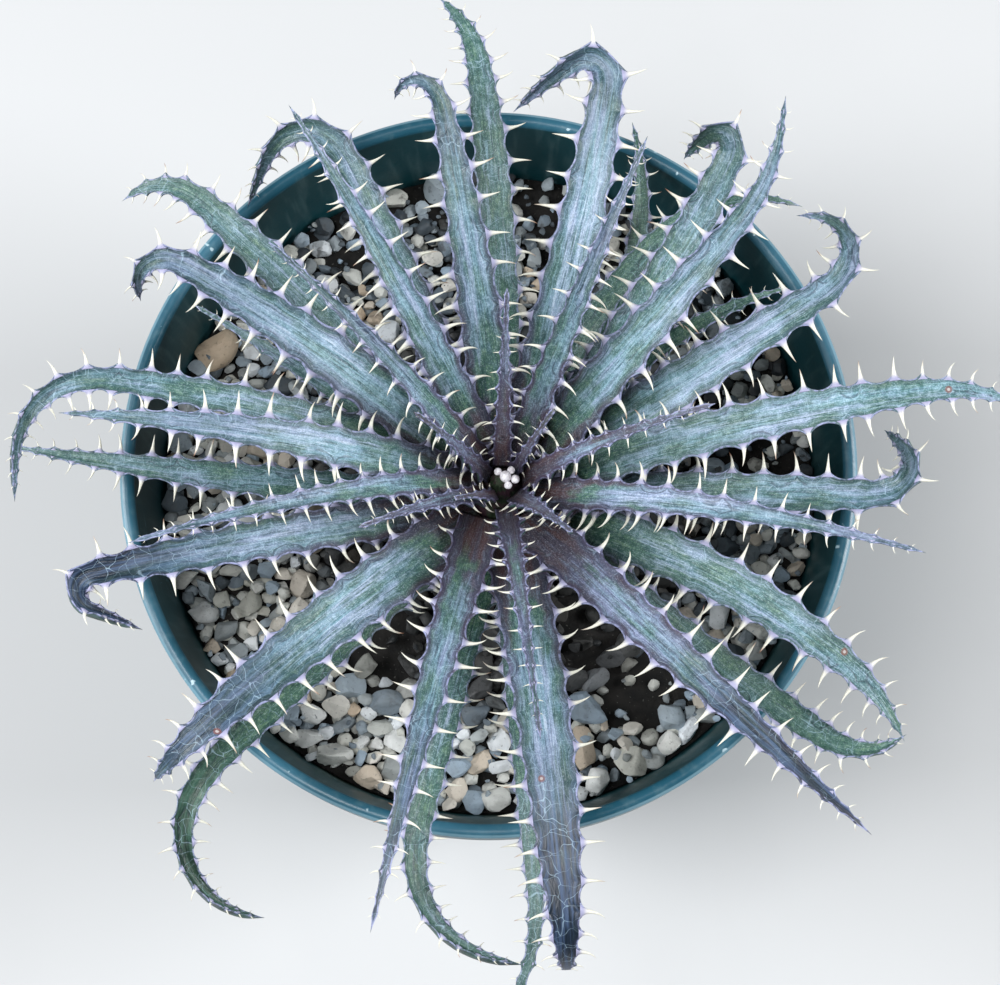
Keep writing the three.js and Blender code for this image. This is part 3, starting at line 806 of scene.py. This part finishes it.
def margin_offset(leaf, t, rows):
    """How far a margin stands out of (or, between its spines, in from) the plain outline."""
    spots = np.array([row[0] for row in rows])
    behind = np.clip(np.searchsorted(spots, t) - 1, 0, len(spots) - 2)
    share = (t - spots[behind]) / (spots[behind + 1] - spots[behind])
    hollow = np.clip(4 * share * (1 - share), 0, 1) ** SCALLOP_ROUNDNESS
    past_ends = np.minimum(np.abs(t - spots[0]), np.abs(t - spots[-1]))
    outside = (t < spots[0]) | (t > spots[-1])
    hollow = np.where(outside, smooth(past_ends, 0, SCALLOP_FADE), hollow)
    return scallop_size(leaf, t) * (SCALLOP_PEAK * (1 - hollow) - SCALLOP_DEPTH * hollow)


def ring_places(leaf, sides):
    """Shares of the length where the rings of a blade lie: even ones, and more at each spine."""
    even = np.arange(0, leaf.length, RING_SPACING)
    at_spines = [t * leaf.length + step for rows in sides.values() for t, _ in rows
                 for step in RINGS_AT_SPINE]
    kept = []
    for place in np.concatenate([at_spines, even]):
        clear = all(abs(place - other) >= LEAST_RING_GAP for other in kept)
        if clear and 0 <= place < leaf.length * LAST_RING:
            kept.append(place)
    return np.sort(kept) / leaf.length


def blade(leaf, midline, sides, index):
    """The blade of a leaf: rings of points round it, faces, and what its skin needs to know."""
    t = ring_places(leaf, sides)
    count = len(t)
    place, _, side, up = midline.frames(t)
    ending = smooth(t, TIP_FROM, 1)
    fade = 1 - ending
    plain = np.maximum(half_width(leaf, t), LEAST_HALF_WIDTH)
    plain = plain * between((1, TIP_WIDTH), smooth(t, TIP_FROM, TIP_TO))
    depth = LEAST_THICKNESS * between((1, TIP_THICKNESS), ending)
    depth = depth + THICKNESS_OF_WIDTH * 2 * plain
    channel = CHANNEL_OF_WIDTH * 2 * plain
    fold = (leaf.fold - CHANNEL_OF_WIDTH) * 2 * plain * smooth(t, *FOLD_OVER)
    offsets = {sign: margin_offset(leaf, t, rows) for sign, rows in sides.items()}

    # Round a ring: over the top from left to right, the right edge, back under, the left edge.
    over = np.cos(np.linspace(0, pi, POINTS_ABOVE))
    back = -np.cos(np.linspace(0, pi, POINTS_BELOW + 2))
    spans = np.concatenate([over, [-EDGE_REACH], back, [EDGE_REACH]])
    parts = ["top"] * len(over) + ["edge"] + ["keel"] * len(back) + ["edge"]
    rings, insets = [], []
    for span, part in zip(spans, parts):
        reach = min(abs(span), 1)
        offset = offsets[1 if span > 0 else -1] * fade
        outward = span * plain + np.sign(span) * reach ** 3 * offset
        crowned = (MARGIN_THICKNESS - EDGE_THICKNESS) * (1 - reach ** TOP_CURVE)
        height = 0
        if part == "top":
            height = (EDGE_THICKNESS + crowned) / 2 * fade - channel * (1 - reach ** CHANNEL_CURVE)
        elif part == "keel":
            keel = (1 - reach ** KEEL_CURVE[0]) ** KEEL_CURVE[1]
            height = -EDGE_THICKNESS / 2 * fade - depth * keel
        height = height - fold * (1 - reach ** FOLD_CURVE)
        rings.append(place + side * outward[:, None] + up * height[:, None])
        insets.append(plain + offset - np.abs(outward))
    apex = midline.frames(np.array([1.0]))[0]
    points = np.vstack([np.stack(rings, axis=1).reshape(-1, 3), apex])

    along = np.append(np.repeat(t, len(spans)), 1)
    leftward = np.append(np.outer(plain, spans), 0)
    across = np.append(np.tile(np.clip(spans, -1, 1), count), 0)
    under = np.append(np.tile([part == "keel" for part in parts], count), 0)
    inset = np.append(np.clip(np.stack(insets, axis=1), 0, None), TIP_INSET)
    none = np.zeros(len(points))
    return points, tube_faces(count, len(spans), pointed=True), {
        "place": np.stack([along * leaf.length, leftward, none + index * SKIN_SLICE], -1),
        "spread": np.stack([along, across, under], -1),
        "margin": np.stack([inset, none, none], -1),
        "tone": np.tile(leaf.look, (len(points), 1)),
    }


def spine(leaf, midline, t, share, sign, chance):
    """A spine: a slender cone with a flared foot, hooked back at the root and on at the tip."""
    width = 2 * float(half_width(leaf, t))
    length = SPINE_LENGTH * (1 - SPINE_SHORTENING * share ** 3)
    length *= between((SMALLEST_SPINES, 1), min(1, leaf.width / FULL_SPINES_WIDTH))
    length *= between((NARROW_SPINES, 1), min(1, width / NARROW_BLADE))
    length *= chance.uniform(*SPINE_LENGTHS)
    whole = length + SPINE_ROOT_DEPTH + SCALLOP_PEAK * float(scallop_size(leaf, t))
    lean = between(SPINE_LEAN, share) + chance.uniform(-SPINE_LEAN_SPREAD, SPINE_LEAN_SPREAD)
    lift = radians(chance.uniform(*SPINE_LIFT))
    centre, along, side, up = (value[0] for value in midline.frames(np.array([t])))
    centre = centre + side * sign * (half_width(leaf, t) - SPINE_ROOT_DEPTH)
    points = []
    previous = 0
    for ring in (*SPINE_RINGS, 1):
        turn = radians(lean * (SPINE_HOOK[0] + SPINE_HOOK[1] * ring * ring))
        outward = side * sign * cos(turn) + along * sin(turn)
        outward = outward * cos(lift * ring) + up * sin(lift * ring)
        centre = centre + outward * (ring - previous) * whole
        previous = ring
        if ring == 1:
            points.append(centre)
            break
        slender = whole * SPINE_BODY * (1 - ring) ** SPINE_TAPER
        wide = slender + whole * SPINE_FLARE * exp(-ring / SPINE_FLARE_LENGTH)
        deep = min(slender, SPINE_DEPTH)
        across = np.cross(up, outward)
        points += [centre + (across * wide * x + up * deep * y) * sign
                   for x, y in circle(SPINE_SIDES)]

    # Brown tips are rarer on silvery and purple leaves.
    silver, purple, _ = leaf.look
    brown = chance.random() ** (1 + 3 * max(silver, purple))
    spread = [(ring, brown, 0) for ring in SPINE_RINGS for _ in range(SPINE_SIDES)]
    faces = tube_faces(len(SPINE_RINGS), SPINE_SIDES, pointed=True)
    return np.array(points), faces, np.array([*spread, (1, brown, 0)])


def add_leaf(index, leaf, skins):
    """One leaf with its two rows of spines."""
    chance = random.Random(LEAF_SEED + index)
    midline = Midline(leaf, FIRST_LEAF_HEIGHT + index * LEAF_SPACING)
    sides = {sign: spine_rows(leaf, chance) for sign in (1, -1)}
    blade_points, faces, values = blade(leaf, midline, sides, index)
    mark_share, mark_left = leaf.mark
    marks = values["place"] - [mark_share * leaf.length, mark_left, index * SKIN_SLICE]
    face_materials = [0] * len(faces)
    point_sets = [blade_points]
    spreads = [values["spread"]]
    total = len(blade_points)
    for sign, rows in sides.items():
        for t, share in rows:
            made, made_faces, spread = spine(leaf, midline, t, share, sign, chance)
            faces += renumbered(made_faces, total)
            face_materials += [1] * len(made_faces)
            total += len(made)
            point_sets.append(made)
            spreads.append(spread)
    points = np.vstack(point_sets)
    spines = points[len(blade_points):]
    none = np.zeros_like(spines)
    slot = next(name for start, name in LEAF_SLOTS if index >= start)
    node = f"leaf_{index + 1:02d}"
    add_piece(f"{node}_blade", points, faces, skins, slot, node, face_materials,
              place=np.vstack([values["place"], spines]), spread=np.vstack(spreads),
              tone=np.vstack([values["tone"], none]), margin=np.vstack([values["margin"], none]),
              mark=np.vstack([marks, none + NO_MARK[1]]))


# -------- pot and filling

def inner_radius(height):
    return RIM_RADIUS - RIM_BAND - (POT_HEIGHT - height) * tan(radians(WALL_TAPER))


def outer_radius(height):
    return inner_radius(height) + WALL_THICKNESS


def pot_profile():
    """The pot's section, as (radius, height): up its outside, over its rim and down its inside."""
    foot = outer_radius(0)
    collar = RIM_RADIUS - COLLAR_TAPER
    collar_foot = POT_HEIGHT - COLLAR_HEIGHT
    crown = [(RIM_RADIUS - between((RIM_EASE, RIM_BAND - RIM_EASE), share),
              POT_HEIGHT - RIM_CROWN * (2 * share - 1) ** 2)
             for share in np.linspace(0, 1, RIM_STEPS)]
    return [
        (AXIS_GAP, FOOT_RECESS), (foot - FOOT_RING - FOOT_RECESS, FOOT_RECESS),
        (foot - FOOT_RING, 0), (foot - FOOT_CHAMFER, 0),
        (foot - 0.3 * FOOT_CHAMFER, 0.3 * FOOT_CHAMFER),
        (outer_radius(FOOT_CHAMFER), FOOT_CHAMFER),
        (outer_radius(collar_foot - POT_EASE), collar_foot - POT_EASE),
        (outer_radius(collar_foot), collar_foot),
        (collar - POT_EASE, collar_foot), (collar, collar_foot + POT_EASE),
        *((RIM_RADIUS - inwards, POT_HEIGHT - down) for inwards, down in RIM_EDGE), *crown,
        (inner_radius(POT_HEIGHT - 1), POT_HEIGHT - 1),
        (inner_radius(FLOOR_THICKNESS + 1), FLOOR_THICKNESS + 1),
        (inner_radius(FLOOR_THICKNESS) - 1, FLOOR_THICKNESS), (AXIS_GAP, FLOOR_THICKNESS),
    ]


def add_pot(skin):
    """The pot: a tapered tub with a collar, a crowned rim and holes in its floor."""
    profile = pot_profile()
    points = [(radius * x, radius * y, height)
              for radius, height in profile for x, y in circle(POT_SEGMENTS)]
    faces = tube_faces(len(profile), POT_SEGMENTS)
    pot = add_piece("pot_shell", points, faces, [skin], "pot_plastic", "pot")
    for x, y in circle(DRAIN_HOLES):
        bpy.ops.mesh.primitive_cylinder_add(
            radius=DRAIN_RADIUS * MM, depth=DRAIN_CUT * MM, vertices=DRAIN_SEGMENTS,
            location=(DRAIN_CIRCLE * x * MM, DRAIN_CIRCLE * y * MM, 0))
        cutter = bpy.context.object
        cut = pot.modifiers.new("drain", "BOOLEAN")
        cut.operation = "DIFFERENCE"
        cut.object = cutter
        with bpy.context.temp_override(object=pot, active_object=pot):
            bpy.ops.object.modifier_apply(modifier=cut.name)
        bpy.data.objects.remove(cutter)
    pot.data.set_sharp_from_angle(angle=radians(SHARP_EDGE))


def unit_ball(subdivisions):
    """Points and faces of a ball of radius 1, made of even triangles."""
    ball = bmesh.new()
    bmesh.ops.create_icosphere(ball, subdivisions=subdivisions, radius=1)
    points = np.array([vert.co[:] for vert in ball.verts])
    faces = [tuple(vert.index for vert in face.verts) for face in ball.faces]
    ball.free()
    return points, faces


def lumpiness(points, scale, chance):
    """Soft random lumps: a value from about -1 to 1 for each point."""
    shift = Vector([chance.uniform(0, 50) for _ in range(3)])
    return np.array([noise.noise(Vector(point) * scale + shift) for point in points])


def random_turn(chance):
    """A random rotation as a 3 x 3 array."""
    axis = Vector([chance.gauss(0, 1) for _ in range(3)]).normalized()
    spin = axis.to_track_quat("Z", "Y").to_matrix()
    return np.array(spin) @ np.array(Vector((0, 0, 1)).rotation_difference(axis).to_matrix())


def stone(ball, radii, centre, chance):
    """A worn stone: a ball flattened by a few planes, lumpy, stretched, turned and lying flat."""
    points = ball.copy()
    for _ in range(STONE_FLATS):
        normal = np.array([chance.gauss(0, 1) for _ in range(3)])
        normal /= np.linalg.norm(normal)
        over = np.clip(points @ normal - chance.uniform(*FLAT_PLACES), 0, None)
        points -= np.outer(over * FLAT_DEPTH, normal)
    swell = STONE_SWELL + STONE_LUMPS * lumpiness(points, LUMPS_SCALE, chance)
    points *= swell[:, None]
    turned = (points * radii) @ random_turn(chance).T
    return turned * np.array([1, 1, LYING_FLAT]) + centre


def pale_side(x, y):
    """1 where the dressing is of large pale stones, falling to 0 where it is fine and dark."""
    return float(smooth(x * PALE_WAY[0] + y * PALE_WAY[1], *PALE_OVER))


def settled(chance, sizes, cover, reach):
    """Stones (x, y, radius) that cover a share of the bed, pushed apart to lie side by side."""
    stones = []
    wanted = cover * pi * reach ** 2
    while wanted > 0:
        distance, angle = reach * sqrt(chance.random()), chance.uniform(0, 2 * pi)
        x, y = distance * cos(angle), distance * sin(angle)
        largeness = chance.random() ** SMALL_STONES * between((0.5, 1), pale_side(x, y))
        radius = between(sizes, largeness)
        stones.append((x, y, radius))
        wanted -= pi * radius ** 2
    places = np.array(stones)
    spots, radii = places[:, :2], places[:, 2]
    stem = np.array([PLANT_X, PLANT_Y])
    for _ in range(SETTLING_ROUNDS):
        apart = spots[:, None] - spots[None]
        gap = np.hypot(apart[..., 0], apart[..., 1]) + 1e-6
        overlap = np.clip(radii[:, None] + radii[None] - gap, 0, None)
        np.fill_diagonal(overlap, 0)
        spots += SETTLING_PUSH * (apart * (overlap / gap)[..., None]).sum(axis=1)
        from_stem = spots - stem
        distance = np.hypot(*from_stem.T)
        too_near = np.clip(STEM_RADIUS + radii - distance, 0, None)
        spots += from_stem * (too_near / distance)[:, None]
        distance = np.hypot(*spots.T)
        spots *= (np.minimum(distance, reach - radii) / distance)[:, None]
    return [tuple(row) for row in np.column_stack([spots, radii])]


def thinned(places, chance):
    """The stones that are left once most of those in the bare patches are taken away."""
    return [place for place in places
            if all(dist(place[:2], (x, y)) >= radius for x, y, radius in BARE_PATCHES)
            or chance.random() < STONES_LEFT]


def add_stones(name, places, level, ball, chance, skin, dark=0.0):
    """A layer of stones as one piece. dark lowers all its tints by that share."""
    ball_points, ball_faces = ball
    points, faces, spread = [], [], []
    for x, y, radius, *tints in places:
        radii = radius * np.array([STONE_LONG, chance.uniform(*STONE_WIDE),
                                   chance.uniform(*STONE_DEEP)])
        centre = np.array([x, y, level + chance.uniform(-LEVEL_SPREAD, LEVEL_SPREAD)])
        faces += renumbered(ball_faces, len(points) * len(ball_points))
        points.append(stone(ball_points, radii, centre, chance))

        # Away from the pale side the tints are darker and the stones dustier.
        pale = pale_side(x, y)
        # Round the stem the stones take painted shade under the rosette, with some dampness, and it also
        # thickens their dust.
        shade_and_damp = 1 - smooth(hypot(x - PLANT_X, y - PLANT_Y), *SHADE_AND_DAMP_RING)
        tint = tints[0] if tints else chance.random() ** (1.3 - 0.9 * pale) * (1 - dark)
        dust_and_shade = min(1, chance.uniform(0.2, 1) * (1.1 - 0.85 * pale) + shade_and_damp)
        spread += [(tint, dust_and_shade, shade_and_damp)] * len(ball_points)
    piece = add_piece(name, np.vstack(points), faces, [skin], "gravel", "gravel", spread=spread)
    piece.data.set_sharp_from_angle(angle=radians(STONE_SHARPNESS))


def add_soil(soil):
    """The soil below the stones, with broad and small lumps on top."""
    reach = inner_radius(SOIL_TOP) - CLEARANCE
    points = []
    for ring in range(SOIL_RINGS):
        radius = reach * (ring + SOIL_PINHOLE) / (SOIL_RINGS - 1 + SOIL_PINHOLE)
        for x, y in circle(SOIL_SEGMENTS):
            x, y = radius * x, radius * y
            lump = noise.noise(Vector((x, y, 0)) * 0.35) + 0.5 * noise.noise(Vector((x, y, 9)))
            points.append((x, y, SOIL_TOP + SOIL_LUMPS * lump))
    foot = MIX_TOP + CLEARANCE
    foot_radius = inner_radius(foot) - CLEARANCE
    points += [(foot_radius * x, foot_radius * y, foot) for x, y in circle(SOIL_SEGMENTS)]
    faces = [face[::-1] for face in tube_faces(SOIL_RINGS + 1, SOIL_SEGMENTS)]
    add_piece("gravel_soil", points, faces, [soil], "gravel", "gravel")


def add_gravel(skin):
    """The stones of the top dressing: a tight upper layer, a lower one and crumbs on top."""
    chance = random.Random(GRAVEL_SEED)
    reach = inner_radius(UPPER_LEVEL) - CLEARANCE
    upper = thinned(settled(chance, UPPER_SIZES, UPPER_COVER, reach), chance)
    upper = [place for place in upper if all(
        dist(place[:2], (x, y)) > LANDMARK_ROOM * (place[2] + radius)
        for x, y, radius, _ in LANDMARK_STONES)] + LANDMARK_STONES
    lower = thinned(settled(chance, LOWER_SIZES, LOWER_COVER, reach - 1), chance)

    # Fewer crumbs lie among the pale stones.
    crumbs = [place for place in settled(chance, CRUMB_SIZES, CRUMB_COVER, reach)
              if chance.random() > 0.7 * pale_side(*place[:2])]
    fine_ball, plain_ball = unit_ball(3), unit_ball(2)
    large = [place for place in upper if place[2] >= FINE_STONE]
    small = [place for place in upper if place[2] < FINE_STONE]
    add_stones("gravel_large", large, UPPER_LEVEL, fine_ball, chance, skin)
    add_stones("gravel_small", small, UPPER_LEVEL, plain_ball, chance, skin)
    add_stones("gravel_lower", lower, LOWER_LEVEL, plain_ball, chance, skin, dark=0.3)
    add_stones("gravel_crumbs", crumbs, UPPER_LEVEL + 1, plain_ball, chance, skin, dark=0.5)


def add_stem(bark):
    """The stem and crown, ridged by old leaf bases and a little uneven."""
    points = []
    for height in np.linspace(STEM_FOOT, CROWN_TOP, STEM_RINGS):
        plain = STEM_RADIUS if height < CROWN_FOOT else crown_radius(height)
        for side in range(STEM_SEGMENTS):
            angle = 2 * pi * side / STEM_SEGMENTS
            x, y = cos(angle), sin(angle)
            spiral = OLD_BASES_ROUND * angle + OLD_BASES_CLIMB * height
            ridge = abs(sin(0.5 * spiral))
            uneven = noise.noise(Vector((4 * x, 4 * y, 0.4 * height)))
            radius = max(0.3, plain - 0.4 + 0.35 * ridge + 0.3 * uneven)
            points.append((PLANT_X + radius * x, PLANT_Y + radius * y, height))
    faces = tube_faces(STEM_RINGS, STEM_SEGMENTS)
    add_piece("stem_bark", points, faces, [bark], "stem", "stem")


def add_granules(chalk):
    """White granules in the heart."""
    chance = random.Random(GRANULE_SEED)
    ball_points, ball_faces = unit_ball(4)
    points, faces = [], []
    for index, (x, y, radius) in enumerate(GRANULES):
        swell = radius * (0.97 + 0.05 * lumpiness(ball_points, 1.6, chance))
        centre = np.array([PLANT_X + x, PLANT_Y + y, CROWN_TOP + CLEARANCE + radius])
        points.append(ball_points * swell[:, None] + centre)
        faces += renumbered(ball_faces, index * len(ball_points))
    add_piece("granule_heap", np.vstack(points), faces, [chalk], "granules", "granules")


# -------- studio

# The camera looks down on the pot, tilted a little towards its far side.
CAMERA_PLACE = (2.3, -106.3, 706.4)
CAMERA_TILT = 9.7
CAMERA_LENS = 106.5

# Soft square lights: name, place and size in metres, power and tint.
LIGHTS = [
    ("right", (0.85, 0.05, 0.68), 0.45, 10.6, (0.97, 0.985, 1)),
    ("left", (-0.85, 0, 0.68), 0.45, 9.8, (0.96, 0.98, 1)),
    ("top", (-0.3, -0.12, 1.15), 0.4, 7, (1, 1, 1)),
]
WORLD_TINT = (0.9, 0.95, 1, 1)
WORLD_STRENGTH = 0.1
FLOOR_SIZE = 12


def add_studio():
    """Floor, soft lights and the camera."""
    bpy.ops.mesh.primitive_plane_add(size=FLOOR_SIZE, location=(0, 0, 0))
    floor = bpy.context.object
    floor.name = "studio_floor"
    floor.data.materials.append(floor_paper())
    for name, place, size, power, tint in LIGHTS:
        light = bpy.data.lights.new(name, "AREA")
        light.size = size
        light.energy = power
        light.color = tint
        lamp = new_object(name, light)
        lamp.location = place
        lamp.rotation_euler = (-Vector(place)).to_track_quat("-Z", "Y").to_euler()
    world = bpy.data.worlds.new("studio_air")
    world.use_nodes = True
    air = world.node_tree.nodes["Background"]
    air.inputs["Color"].default_value = WORLD_TINT
    air.inputs["Strength"].default_value = WORLD_STRENGTH
    bpy.context.scene.world = world
    bpy.context.scene.view_settings.view_transform = "Standard"
    camera = new_object("camera", bpy.data.cameras.new("camera"))
    camera.data.lens = CAMERA_LENS
    camera.location = [value * MM for value in CAMERA_PLACE]
    camera.rotation_euler = (radians(CAMERA_TILT), 0, 0)
    bpy.context.scene.camera = camera


# -------- the whole scene

add_studio()
add_pot(pot_plastic())
add_soil(dark_soil("bed_soil"))
add_gravel(pebble_stone())
add_stem(stem_bark())
add_granules(granule_white())
leaf_skins = [leaf_skin(), spine_horn()]
for number, row in enumerate(LEAVES):
    add_leaf(number, row, leaf_skins)
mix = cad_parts["potting_mix"]
mix.data.materials.clear()
mix.data.materials.append(dark_soil("potting_soil"))
